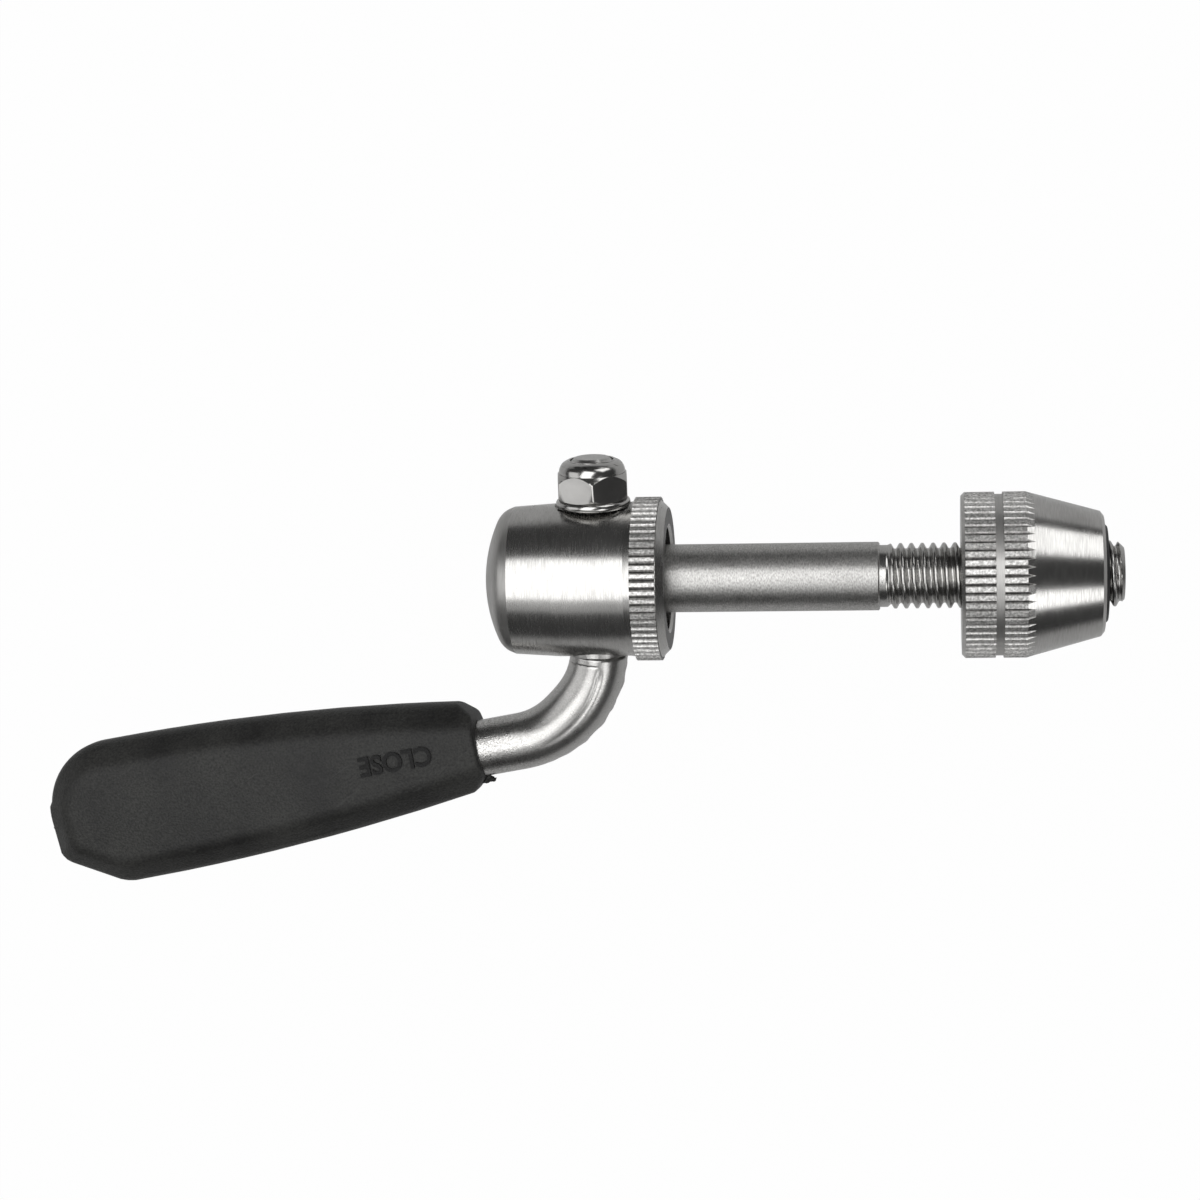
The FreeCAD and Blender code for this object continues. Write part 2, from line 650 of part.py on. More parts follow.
def make_adjusting_nut():
    """Turned steel nut: two knurled bands with a groove between, then a cone, counterbored for its ring."""
    body = new_body("adjusting_nut")
    profile = new_sketch(body, "adjusting_nut_profile", "XY_Plane")
    face = "dims.nut_setback"
    ring = "dims.bar_diameter / 2"
    groove_floor = f"{ring} - dims.nut_groove_depth"
    groove = f"{face} + dims.nut_groove_offset"
    cone_start = f"{face} + dims.nut_knurl_length"
    end = f"{face} + dims.nut_length"
    bore = "dims.thread_diameter / 2 + dims.thread_gap"
    recess = f"{CONE_END} - dims.nut_end_wall"
    recess_floor = f"{end} + dims.locking_ring_proud - dims.locking_ring_thickness - dims.locking_ring_gap"
    draw_outline(profile, [
        (face, f"{bore} + dims.nut_countersink"),
        (face, f"{ring} - dims.nut_edge_chamfer"),
        (f"{face} + dims.nut_edge_chamfer", ring),
        (f"{groove} - dims.nut_groove_width / 2", ring),
        (f"{groove} - dims.nut_groove_width / 2", groove_floor),
        (f"{groove} + dims.nut_groove_width / 2", groove_floor),
        (f"{groove} + dims.nut_groove_width / 2", ring),
        (cone_start, ring),
        (end, CONE_END),
        (end, recess),
        (recess_floor, recess),
        (recess_floor, bore),
        (f"{face} + dims.nut_countersink", bore),
    ])
    blank = revolve(body, "nut_blank", profile, "H_Axis")
    edges = circle_edges(blank, "x", size("nut_setback") + size("nut_length"), cone_end_radius())
    dress(body, "Chamfer", "nut_end", blank, edges, "dims.nut_end_chamfer")
    run_out = "2 * dims.nut_knurl_depth / tan(dims.nut_cone_angle * 1deg)"
    knurl_length = f"dims.nut_knurl_length - dims.nut_edge_chamfer + {run_out}"
    cut_knurl(body, "nut_knurl", f"{face} + dims.nut_edge_chamfer", knurl_length,
              "dims.nut_knurl_depth", "dims.nut_teeth")
    return body


def cone_end_radius():
    cone_length = size("nut_length") - size("nut_knurl_length")
    return size("bar_diameter") / 2 - cone_length * math.tan(math.radians(size("nut_cone_angle")))


def make_adjusting_nut_insert():
    """Black nylon locking ring in the adjusting nut's outer end, standing a little proud of it."""
    body = new_body("adjusting_nut_insert")
    profile = new_sketch(body, "locking_ring_profile", "XY_Plane")
    end = "dims.nut_setback + dims.nut_length + dims.locking_ring_proud"
    inner = "dims.thread_diameter / 2 + dims.thread_gap"
    draw_outline(profile, [
        (f"{end} - dims.locking_ring_thickness", inner),
        (f"{end} - dims.locking_ring_thickness", LOCKING_RING),
        (end, LOCKING_RING),
        (end, inner),
    ])
    ring = revolve(body, "locking_ring", profile, "H_Axis")
    outer_end = size("nut_setback") + size("nut_length") + size("locking_ring_proud")
    outer = cone_end_radius() - size("nut_end_wall") - size("locking_ring_gap")
    edges = circle_edges(ring, "x", outer_end, outer)
    dress(body, "Chamfer", "locking_ring_edge", ring, edges, "dims.locking_ring_chamfer")
    return body


def resting_roll(grip):
    """How far the clamp rolls about its skewer until the grip comes down to the table, in degrees.

    The table is as far below the skewer as the knurled rings' radius. A point of the grip at reach r
    and angle a below the pivot's plane meets it when r * sin(roll + a) equals that radius.
    """
    radius = size("bar_diameter") / 2
    rolls = []
    for edge in grip.Edges:
        for point in edge.discretize(EDGE_POINTS):
            reach = math.hypot(point.y, point.z)
            if reach > radius and point.y < 0:
                rolls.append(math.asin(radius / reach) - math.atan2(-point.z, -point.y))
    return math.degrees(min(rolls))


skewer_pieces = [make_cam_barrel(), make_skewer(), make_adjusting_nut(), make_adjusting_nut_insert()]
pivot_pieces = [make_lever_rod(), make_lock_washer(), make_lock_nut_insert()]
lock_nut = make_lock_nut()
grip = make_lever_grip()

# The pivot stands behind the clamp face, the lock nut stopped at some turn, and the grip was moulded
# along the rod's straight end, twisted on it and a little off its middle
x_direction = FreeCAD.Vector(1, 0, 0)
y_direction = FreeCAD.Vector(0, 1, 0)
pivot = FreeCAD.Placement(FreeCAD.Vector(-size("pivot_setback"), 0, 0), FreeCAD.Rotation())
turn_end = rod_route()[1]
droop = size("lever_droop_angle")
along_rod = FreeCAD.Rotation(FreeCAD.Vector(0, 0, 1), droop)
mouth = turn_end - along_rod.multVec(x_direction) * size("rod_free_length")
twisted = FreeCAD.Placement(FreeCAD.Vector(), FreeCAD.Rotation(x_direction, -size("grip_twist_angle")))
beside = FreeCAD.Placement(FreeCAD.Vector(0, size("grip_offset"), 0), FreeCAD.Rotation())
in_lever = pivot * FreeCAD.Placement(mouth, along_rod) * twisted * beside
upright_grip = grip.Shape.copy()
upright_grip.Placement = in_lever
roll = resting_roll(upright_grip)
rest = FreeCAD.Placement(FreeCAD.Vector(), FreeCAD.Rotation(x_direction, roll))
nut_turn = FreeCAD.Rotation(y_direction, size("hex_turn_angle"))
for body in skewer_pieces:
    body.Placement = rest
for body in pivot_pieces:
    body.Placement = rest * pivot
lock_nut.Placement = rest * pivot * FreeCAD.Placement(FreeCAD.Vector(), nut_turn)
grip.Placement = rest * in_lever
doc.recompute()

pieces = skewer_pieces + pivot_pieces + [lock_nut, grip]
for item in doc.Objects:
    if "Invalid" in item.State or "Error" in item.State:
        raise ValueError(f"{item.Name} failed: {item.State}")
for body in pieces:
    if body.Shape.isNull() or not body.Shape.isValid() or len(body.Shape.Solids) != 1:
        raise ValueError(f"{body.Label} is not one sound solid")

os.makedirs("parts", exist_ok=True)
for body in pieces:
    body.Shape.exportStep(f"parts/{body.Label}.step")
    print(f"{body.Label}: {body.Shape.Volume:.1f} mm3")
print(f"roll at rest: {roll:.4f} degrees")
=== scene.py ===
"""A quick release seatpost clamp over a pale table, seen from above."""
import json
import math

import bmesh
import bpy
from mathutils import Matrix, Vector, noise


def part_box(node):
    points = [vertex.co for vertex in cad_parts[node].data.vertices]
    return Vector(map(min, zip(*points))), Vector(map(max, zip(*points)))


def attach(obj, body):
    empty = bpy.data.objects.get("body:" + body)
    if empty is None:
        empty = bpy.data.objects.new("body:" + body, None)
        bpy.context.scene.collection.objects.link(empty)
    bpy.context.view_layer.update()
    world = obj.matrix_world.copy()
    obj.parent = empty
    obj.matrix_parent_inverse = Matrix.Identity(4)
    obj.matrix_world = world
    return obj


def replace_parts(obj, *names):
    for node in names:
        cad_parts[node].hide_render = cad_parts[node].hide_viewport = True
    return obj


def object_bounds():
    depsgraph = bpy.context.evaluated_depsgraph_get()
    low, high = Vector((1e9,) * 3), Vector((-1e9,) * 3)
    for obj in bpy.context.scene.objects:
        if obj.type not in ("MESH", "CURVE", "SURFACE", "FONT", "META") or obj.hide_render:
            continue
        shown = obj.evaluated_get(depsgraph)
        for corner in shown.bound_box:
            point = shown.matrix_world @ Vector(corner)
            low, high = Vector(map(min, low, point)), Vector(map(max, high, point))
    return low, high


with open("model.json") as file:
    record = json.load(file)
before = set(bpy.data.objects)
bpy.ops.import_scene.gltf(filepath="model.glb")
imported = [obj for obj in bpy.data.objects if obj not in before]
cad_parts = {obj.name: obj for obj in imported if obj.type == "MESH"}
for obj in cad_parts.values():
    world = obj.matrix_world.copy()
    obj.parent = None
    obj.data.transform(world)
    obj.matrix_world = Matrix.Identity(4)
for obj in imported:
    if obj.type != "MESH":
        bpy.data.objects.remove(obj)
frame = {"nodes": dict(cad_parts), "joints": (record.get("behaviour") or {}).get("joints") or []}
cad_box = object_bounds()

# Cam barrel
# A cup turned from steel bar and nickel plated. Its side is brushed round the axis, the domed end keeps
# the satin of the last tool, and the ring at the open end is knurled so that it grips the frame's lug.
MM = 0.001
# The turned form, in millimetres
BAR_RADIUS = 9.575
DOME_DEPTH = 3.45
RING_KNURL = (-3.85, -0.9)
RING_NOTCH = 0.32
# The ring's notches stop at its rim, so their run-out is put past the barrel's end, where nothing is.
RING_RUNOUT = (0.0, 1.0)
# The finish of the turned steel, in metres
LINE_SIZE = (0.1 * MM, 1.6 * MM, 1.6 * MM)
PIT_SIZE = 0.3 * MM
CLOUD_SIZE = 4.0 * MM
RELIEF = 0.05 * MM
CUT_START = 0.02 * MM
KNURL_ROUGH = 0.42
SATIN_ROUGH = 0.4


def linear(code):
    """An sRGB hex colour as the linear colour that a shader takes."""
    channels = [int(code[i:i + 2], 16) / 255 for i in (1, 3, 5)]
    return [c / 12.92 if c <= 0.04045 else ((c + 0.055) / 1.055) ** 2.4 for c in channels] + [1.0]


def add_node(tree, kind, inputs, **settings):
    """Add a node with its settings, and give each input a value or another node's output."""
    node = tree.nodes.new(kind)
    for name, value in settings.items():
        setattr(node, name, value)
    for key, value in inputs.items():
        if isinstance(value, bpy.types.NodeSocket):
            tree.links.new(value, node.inputs[key])
        else:
            node.inputs[key].default_value = value
    return node


def new_material(name):
    """An empty material, with its node tree and its shader."""
    material = bpy.data.materials.new(name)
    material.use_nodes = True
    tree = material.node_tree
    return material, tree, tree.nodes["Principled BSDF"]


def turned_steel(name, bands, notch, runout, satin, roughness, brush):
    """Nickel plated steel, brushed in the lathe: short fine lines round the axis, and grainy knurled bands.

    The knurl's notches, and their ends where they run out on a cone, are painted darker than the lands as
    painted shade in their depths. The lines are drawn 0.1 mm apart, coarser than real ones, so that they
    show. Stretches along the axis and the notches' depth are in millimetres.
    """
    material, tree, shader = new_material(name)
    place = add_node(tree, "ShaderNodeTexCoord", {}).outputs["Object"]
    along = add_node(tree, "ShaderNodeSeparateXYZ", {0: place}).outputs["X"]
    around = add_node(tree, "ShaderNodeVectorMath", {0: place, 1: (0, 1, 1)}, operation="MULTIPLY").outputs[0]
    radius = add_node(tree, "ShaderNodeVectorMath", {0: around}, operation="LENGTH").outputs["Value"]
    brushed = add_node(tree, "ShaderNodeMapping",
                       {"Vector": place, "Scale": [1 / size for size in LINE_SIZE]}).outputs[0]
    lines = add_node(tree, "ShaderNodeTexNoise",
                     {"Vector": brushed, "Scale": 1.0, "Detail": 2.0}).outputs["Fac"]
    pits = add_node(tree, "ShaderNodeTexNoise",
                    {"Vector": place, "Scale": 1 / PIT_SIZE, "Detail": 3.0}).outputs["Fac"]
    cloud = add_node(tree, "ShaderNodeTexNoise",
                     {"Vector": place, "Scale": 1 / CLOUD_SIZE, "Detail": 2.0}).outputs["Fac"]
    zones = []
    for first, last in bands + [runout, satin]:
        between = {0: along, 1: (first + last) / 2 * MM, 2: (last - first) / 2 * MM}
        zones.append(add_node(tree, "ShaderNodeMath", between, operation="COMPARE").outputs[0])
    *in_bands, in_runout, in_satin = zones
    blank = add_node(tree, "ShaderNodeMapRange", {
        "Value": along, "From Min": runout[0] * MM, "From Max": runout[1] * MM,
        "To Min": BAR_RADIUS * MM, "To Max": (BAR_RADIUS - notch) * MM}).outputs[0]
    sunk = add_node(tree, "ShaderNodeMath", {0: blank, 1: radius}, operation="SUBTRACT").outputs[0]
    cut = add_node(tree, "ShaderNodeMath", {0: sunk, 1: CUT_START}, operation="GREATER_THAN").outputs[0]
    in_knurl = add_node(tree, "ShaderNodeMath", {0: in_runout, 1: cut}, operation="MULTIPLY").outputs[0]
    for in_band in in_bands:
        in_knurl = add_node(tree, "ShaderNodeMath", {0: in_knurl, 1: in_band}, operation="MAXIMUM").outputs[0]
    height = add_node(tree, "ShaderNodeMix", {"Factor": in_knurl, "A": lines, "B": pits}).outputs[0]
    depth = add_node(tree, "ShaderNodeMix", {"Factor": in_knurl, "A": brush, "B": 1.0}).outputs[0]
    depth = add_node(tree, "ShaderNodeMix", {"Factor": in_satin, "A": depth, "B": 0.0}).outputs[0]
    bump = add_node(tree, "ShaderNodeBump",
                    {"Height": height, "Strength": depth, "Distance": RELIEF}).outputs[0]
    rough = add_node(tree, "ShaderNodeMapRange", {
        "Value": lines, "From Min": 0.35, "From Max": 0.65,
        "To Min": roughness - 0.03, "To Max": roughness + 0.05}).outputs[0]
    tone = add_node(tree, "ShaderNodeMath", {0: cloud, 1: lines}, operation="ADD").outputs[0]
    tone = add_node(tree, "ShaderNodeMapRange",
                    {"Value": tone, "From Min": 0.75, "From Max": 1.25}).outputs[0]
    rough = add_node(tree, "ShaderNodeMix", {"Factor": in_knurl, "A": rough, "B": KNURL_ROUGH}).outputs[0]
    rough = add_node(tree, "ShaderNodeMix", {"Factor": in_satin, "A": rough, "B": SATIN_ROUGH}).outputs[0]
    # Painted shade: the colour darkens towards the bottom of the knurl's notches and their run-outs, deeper
    # ones darker.
    notch_shade = add_node(tree, "ShaderNodeMapRange", {
        "Value": sunk, "From Min": notch / 8 * MM, "From Max": notch * MM, "To Max": 0.9}).outputs[0]
    notch_shade = add_node(tree, "ShaderNodeMath", {0: notch_shade, 1: in_knurl}, operation="MULTIPLY").outputs[0]
    speck = add_node(tree, "ShaderNodeMapRange",
                     {"Value": pits, "From Min": 0.35, "From Max": 0.65}).outputs[0]
    worn = add_node(tree, "ShaderNodeMix",
                    {"Factor": speck, "A": linear("#a3a2a0"), "B": linear("#e6e5e3")}, data_type="RGBA")
    tint = add_node(tree, "ShaderNodeMix",
                    {"Factor": tone, "A": linear("#b8b7b5"), "B": linear("#a8a7a5")}, data_type="RGBA")
    tint = add_node(tree, "ShaderNodeMix",
                    {"Factor": in_knurl, "A": tint.outputs[2], "B": worn.outputs[2]}, data_type="RGBA")
    tint = add_node(tree, "ShaderNodeMix",
                    {"Factor": notch_shade, "A": tint.outputs[2], "B": linear("#2e2d2c")}, data_type="RGBA")
    tree.links.new(tint.outputs[2], shader.inputs["Base Color"])
    tree.links.new(rough, shader.inputs["Roughness"])
    tree.links.new(bump, shader.inputs["Normal"])
    shader.inputs["Metallic"].default_value = 1.0
    return material


def finish_node(name, material):
    """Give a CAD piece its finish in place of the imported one."""
    slots = frame["nodes"][name].data.materials
    slots.clear()
    slots.append(material)


dome_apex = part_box("cam_barrel")[0].x / MM
dome = (dome_apex - 1.0, dome_apex + DOME_DEPTH)
finish_node("cam_barrel", turned_steel(
    "turned_steel_barrel", [RING_KNURL], RING_NOTCH, RING_RUNOUT, dome, roughness=0.23, brush=0.014))

# Skewer
# An M8 bolt of zinc plated steel, its shank left as drawn. The thread is rolled, so its crests and roots
# are round, and it starts after a short plain neck.
NECK_START = 24.45 * MM
CREST = 3.8 * MM
CHAMFER = 0.8 * MM
THREAD_STEPS = 480
THREAD_SIDES = 65
# The flank of the thread, in pitches from the middle of the root
FLANK = (0.05, 0.44)
CRYSTAL_RELIEF = 0.03 * MM
STAIN_SIZE = 1.5 * MM
skewer_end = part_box("skewer")[1].x
thread_sizes = {
    "Length": skewer_end - NECK_START,
    "Middle": (skewer_end + NECK_START) / 2,
    "Pitch": 1.25 * MM,
    "Crest": CREST,
    "Root": 3.17 * MM,
    "Neck": 3.6 * MM,
    "Thread start": NECK_START + 0.75 * MM,
    "Full thread": NECK_START + 1.5 * MM,
    "Point": skewer_end + CREST - CHAMFER,
}


def rolled_thread(material):
    """A tree that wraps a grid into a tube round X and raises one right-hand helical ridge on it."""
    tree = bpy.data.node_groups.new("rolled_thread", "GeometryNodeTree")
    for key in thread_sizes:
        tree.interface.new_socket(key, in_out="INPUT", socket_type="NodeSocketFloat")
    tree.interface.new_socket("Geometry", in_out="OUTPUT", socket_type="NodeSocketGeometry")
    size = add_node(tree, "NodeGroupInput", {}).outputs
    grid = add_node(tree, "GeometryNodeMeshGrid", {
        "Size X": size["Length"], "Size Y": math.tau, "Vertices X": THREAD_STEPS, "Vertices Y": THREAD_SIDES})
    spot = add_node(tree, "GeometryNodeInputPosition", {}).outputs[0]
    spread = add_node(tree, "ShaderNodeSeparateXYZ", {0: spot}).outputs
    along = add_node(tree, "ShaderNodeMath", {0: spread["X"], 1: size["Middle"]}, operation="ADD").outputs[0]
    pitches = add_node(tree, "ShaderNodeMath", {0: along, 1: size["Pitch"]}, operation="DIVIDE").outputs[0]
    turns = add_node(tree, "ShaderNodeMath", {0: spread["Y"], 1: math.tau}, operation="DIVIDE").outputs[0]
    phase = add_node(tree, "ShaderNodeMath", {0: pitches, 1: turns}, operation="SUBTRACT").outputs[0]
    wave = add_node(tree, "ShaderNodeMath", {0: phase, 1: 0.5}, operation="PINGPONG").outputs[0]
    ridge = add_node(tree, "ShaderNodeMapRange",
                     {"Value": wave, "From Min": FLANK[0], "From Max": FLANK[1]},
                     interpolation_type="SMOOTHSTEP").outputs[0]
    threaded = add_node(tree, "ShaderNodeMix",
                        {"Factor": ridge, "A": size["Root"], "B": size["Crest"]}).outputs[0]
    started = add_node(tree, "ShaderNodeMapRange",
                       {"Value": along, "From Min": size["Thread start"], "From Max": size["Full thread"]},
                       interpolation_type="SMOOTHSTEP").outputs[0]
    radius = add_node(tree, "ShaderNodeMix",
                      {"Factor": started, "A": size["Neck"], "B": threaded}).outputs[0]
    point = add_node(tree, "ShaderNodeMath", {0: size["Point"], 1: along}, operation="SUBTRACT").outputs[0]
    radius = add_node(tree, "ShaderNodeMath", {0: radius, 1: point}, operation="MINIMUM").outputs[0]
    across = add_node(tree, "ShaderNodeMath", {0: spread["Y"]}, operation="COSINE").outputs[0]
    across = add_node(tree, "ShaderNodeMath", {0: across, 1: radius}, operation="MULTIPLY").outputs[0]
    above = add_node(tree, "ShaderNodeMath", {0: spread["Y"]}, operation="SINE").outputs[0]
    above = add_node(tree, "ShaderNodeMath", {0: above, 1: radius}, operation="MULTIPLY").outputs[0]
    place = add_node(tree, "ShaderNodeCombineXYZ", {"X": along, "Y": across, "Z": above}).outputs[0]
    tube = add_node(tree, "GeometryNodeSetPosition",
                    {"Geometry": grid.outputs["Mesh"], "Position": place}).outputs[0]
    tube = add_node(tree, "GeometryNodeMergeByDistance",
                    {"Geometry": tube, "Distance": 0.001 * MM}).outputs[0]
    tube = add_node(tree, "GeometryNodeRealizeInstances", {"Geometry": tube}).outputs[0]
    tube = add_node(tree, "GeometryNodeSetMaterial", {"Geometry": tube, "Material": material}).outputs[0]
    add_node(tree, "NodeGroupOutput", {"Geometry": tube})
    return tree


def grown_mesh(name, tree, sizes):
    """The plain mesh that a Geometry Nodes tree makes with these sizes, each set by its identifier."""
    seed = bpy.data.objects.new(name + "_seed", bpy.data.meshes.new(name + "_seed"))
    bpy.context.scene.collection.objects.link(seed)
    modifier = seed.modifiers.new(name, "NODES")
    modifier.node_group = tree
    for item in tree.interface.items_tree:
        if item.name in sizes:
            modifier[item.identifier] = sizes[item.name]
    evaluated = seed.evaluated_get(bpy.context.evaluated_depsgraph_get())
    mesh = bpy.data.meshes.new_from_object(evaluated)
    bpy.data.objects.remove(seed)
    return mesh


def zinc_steel(name, grain, plain, dull, bright, span, depth, rough):
    """Zinc plated steel: the plating's fine crystals give a grainy, soft mirror.

    The grain's depth and the roughness go from one value to another over a span along the skewer. The
    grain is drawn a little coarser than the real crystals, so that it shows. The grain and the span are in
    millimetres.
    """
    material, tree, shader = new_material(name)
    place = add_node(tree, "ShaderNodeTexCoord", {}).outputs["Object"]
    along = add_node(tree, "ShaderNodeSeparateXYZ", {0: place}).outputs["X"]
    share = add_node(tree, "ShaderNodeMapRange", {
        "Value": along, "From Min": span[0] * MM, "From Max": span[1] * MM}).outputs[0]
    drawn = add_node(tree, "ShaderNodeMapping",
                     {"Vector": place, "Scale": [1 / (width * MM) for width in grain]}).outputs[0]
    crystals = add_node(tree, "ShaderNodeTexNoise",
                        {"Vector": drawn, "Scale": 1.0, "Detail": 3.0}).outputs["Fac"]
    cloud = add_node(tree, "ShaderNodeTexNoise",
                     {"Vector": place, "Scale": 1 / STAIN_SIZE, "Detail": 3.0}).outputs["Fac"]
    speck = add_node(tree, "ShaderNodeMapRange",
                     {"Value": crystals, "From Min": 0.3, "From Max": 0.7}).outputs[0]
    strength = add_node(tree, "ShaderNodeMix", {"Factor": share, "A": depth[0], "B": depth[1]}).outputs[0]
    bump = add_node(tree, "ShaderNodeBump",
                    {"Height": crystals, "Strength": strength, "Distance": CRYSTAL_RELIEF}).outputs[0]
    soft = add_node(tree, "ShaderNodeMix", {"Factor": share, "A": rough[0], "B": rough[1]}).outputs[0]
    change = add_node(tree, "ShaderNodeMapRange", {
        "Value": cloud, "From Min": 0.3, "From Max": 0.7, "To Min": 0.92, "To Max": 1.08}).outputs[0]
    soft = add_node(tree, "ShaderNodeMath", {0: soft, 1: change}, operation="MULTIPLY").outputs[0]
    speckled = add_node(tree, "ShaderNodeMix",
                        {"Factor": speck, "A": linear(dull), "B": linear(bright)}, data_type="RGBA")
    tint = add_node(tree, "ShaderNodeMix",
                    {"Factor": strength, "A": linear(plain), "B": speckled.outputs[2]}, data_type="RGBA")
    tree.links.new(tint.outputs[2], shader.inputs["Base Color"])
    tree.links.new(soft, shader.inputs["Roughness"])
    tree.links.new(bump, shader.inputs["Normal"])
    shader.inputs["Metallic"].default_value = 1.0
    return material


def merged_copy(node):
    """A CAD piece's mesh with its loose triangles joined."""
    work = bmesh.new()
    work.from_mesh(frame["nodes"][node].data)
    bmesh.ops.remove_doubles(work, verts=work.verts, dist=0.0005 * MM)
    return work


def cut_off(work, place, way):
    """Take away what lies beyond a plane."""
    everything = work.verts[:] + work.edges[:] + work.faces[:]
    bmesh.ops.bisect_plane(work, geom=everything, dist=0.001 * MM, plane_co=place, plane_no=way,
                           clear_outer=True)


def close_holes(work):
    """Fill every open rim with a face, and turn all the faces outwards."""
    rims = [edge for edge in work.edges if edge.is_boundary]
    bmesh.ops.holes_fill(work, edges=rims, sides=0)
    bmesh.ops.recalc_face_normals(work, faces=work.faces)


def new_piece(name, work, material, body, crease=30.0):
    """A finished piece from worked mesh: smooth but for its sharp edges, riding on its body."""
    mesh = bpy.data.meshes.new(name)
    work.to_mesh(mesh)
    work.free()
    if "custom_normal" in mesh.attributes:
        mesh.attributes.remove(mesh.attributes["custom_normal"])
    mesh.materials.clear()
    mesh.materials.append(material)
    for face in mesh.polygons:
        face.use_smooth = True
        face.material_index = 0
    mesh.set_sharp_from_angle(angle=math.radians(crease))
    piece = bpy.data.objects.new(name, mesh)
    bpy.context.scene.collection.objects.link(piece)
    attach(piece, body)
    return piece


skewer_steel = zinc_steel(
    "zinc_plated_skewer", grain=(0.13, 0.3, 0.3), plain="#aeadab", dull="#898886", bright="#cac9c7",
    span=(24.2, 24.6), depth=(0.8, 0.3), rough=(0.37, 0.22))
bolt = merged_copy("skewer")
cut_off(bolt, (NECK_START, 0, 0), (1, 0, 0))
bolt.from_mesh(grown_mesh("rolled_thread", rolled_thread(skewer_steel), thread_sizes))
close_holes(bolt)
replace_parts(new_piece("skewer_bolt", bolt, skewer_steel, "skewer"), "skewer")

# Lever rod
# A forged steel rod, zinc plated after it was bent. The dies left a crease along the front of its bend, a
# faint line round it under the journal, and a ragged seam along its outer side.
PIVOT_SETBACK = 8.65 * MM
JOURNAL_END = 8.7 * MM
BEND_START = 8.0 * MM
BEND_RADIUS = 11.9 * MM
ROD_RADIUS = 3.375 * MM
ROD_RUN = 44.8 * MM
DROOP = math.radians(10.3)
BEND_RINGS = 180
RUN_RINGS = 60
SIDES = 256
CREASE_TURN = math.radians(11)
CREASE_WIDTH = 0.32 * MM
CREASE_DEPTH = 0.17 * MM
CREASE_RISE = 1.5 * MM
CREASE_END = 14.0 * MM
CREASE_FADE = 4.0 * MM
CREASE_WANDER = 4.0 * MM
DIE_LINE = 1.85 * MM
DIE_LINE_WIDTH = 0.1 * MM
DIE_LINE_DEPTH = 0.05 * MM
DIE_LINE_SLANT = 0.3 * MM
DIE_LINE_PAST = 0.1
DIE_LINE_FADE = 0.3
NECK = 0.84 * MM
NECK_WIDTH = 0.14 * MM
NECK_DEPTH = 0.2 * MM
BULGE = 0.3 * MM
BULGE_RUN = 9.0 * MM
BULGE_LENGTH = 4.0 * MM
SEAM_STEP = 0.9 * MM
SEAM_HEIGHT = 0.17 * MM
SEAM_SHARPNESS = 60
SEAM_END = 16.0 * MM
SEAM_FADE = 6.0 * MM
pivot_way = Vector(next(joint["axis"] for joint in frame["joints"] if joint["name"] == "lever_pivot"))
skewer_way = Vector((1, 0, 0))
face_way = skewer_way.cross(pivot_way)
pivot_foot = -PIVOT_SETBACK * skewer_way
rod_way = math.cos(DROOP) * skewer_way + math.sin(DROOP) * pivot_way
bend_centre = pivot_foot - BEND_RADIUS * skewer_way - BEND_START * pivot_way
bend_turn = math.pi / 2 - DROOP


def rod_section(run):
    """Centre and outer direction of the rod at a distance along it from the start of its bend."""
    turn = min(run / BEND_RADIUS, bend_turn)
    outward = math.cos(turn) * skewer_way - math.sin(turn) * pivot_way
    centre = bend_centre + BEND_RADIUS * outward
    return centre - max(run - BEND_RADIUS * bend_turn, 0.0) * rod_way, outward


def clamped(value):
    """A share held between none and all."""
    return max(0.0, min(1.0, value))


def rod_radius(run, angle, spot):
    """The forged rod's radius, with the crease that fades along the bend, the die's line and the neck.

    The inner side is upset a little in the bend, and the dies' ragged seam runs along its outer side.
    """
    from_crease = (angle - CREASE_TURN) * ROD_RADIUS / CREASE_WIDTH
    fade = clamped((run - DIE_LINE) / CREASE_RISE) * clamped((CREASE_END - run) / CREASE_FADE)
    wander = 0.8 + 0.5 * noise.noise(spot / CREASE_WANDER)
    groove = CREASE_DEPTH * wander * fade * math.exp(-from_crease ** 2)
    from_line = (run - DIE_LINE + DIE_LINE_SLANT * math.sin(angle)) / DIE_LINE_WIDTH
    inner_front = clamped((CREASE_TURN + DIE_LINE_PAST - angle) / DIE_LINE_FADE)
    line = DIE_LINE_DEPTH * inner_front * math.exp(-from_line ** 2)
    neck = NECK_DEPTH * math.exp(-((run - NECK) / NECK_WIDTH) ** 2)
    upset = BULGE * max(0.0, -math.sin(angle)) * math.exp(-((run - BULGE_RUN) / BULGE_LENGTH) ** 2)
    outer = max(0.0, math.sin(angle)) ** SEAM_SHARPNESS * clamped((SEAM_END - run) / SEAM_FADE)
    seam = SEAM_HEIGHT * outer * (0.5 + noise.noise(spot / SEAM_STEP))
    return ROD_RADIUS - groove - line - neck + upset + seam


def forged_rod():
    """The bend and the straight end as a tube of rings, open at both ends."""
    bend = BEND_RADIUS * bend_turn
    runs = [bend * step / BEND_RINGS for step in range(BEND_RINGS)]
    runs += [bend + ROD_RUN * step / RUN_RINGS for step in range(RUN_RINGS + 1)]
    work = bmesh.new()
    rings = []
    for run in runs:
        centre, outward = rod_section(run)
        ring = []
        for side in range(SIDES):
            angle = math.tau * side / SIDES
            angle = angle - math.tau if angle > math.pi else angle
            way = math.cos(angle) * face_way + math.sin(angle) * outward
            spot = centre + way * ROD_RADIUS
            ring.append(work.verts.new(centre + way * rod_radius(run, angle, spot)))
        rings.append(ring)
    for near, far in zip(rings, rings[1:]):
        for side in range(SIDES):
            following = (side + 1) % SIDES
            work.faces.new((near[side], near[following], far[following], far[side]))
    mesh = bpy.data.meshes.new("forged_rod")
    work.to_mesh(mesh)
    work.free()
    return mesh


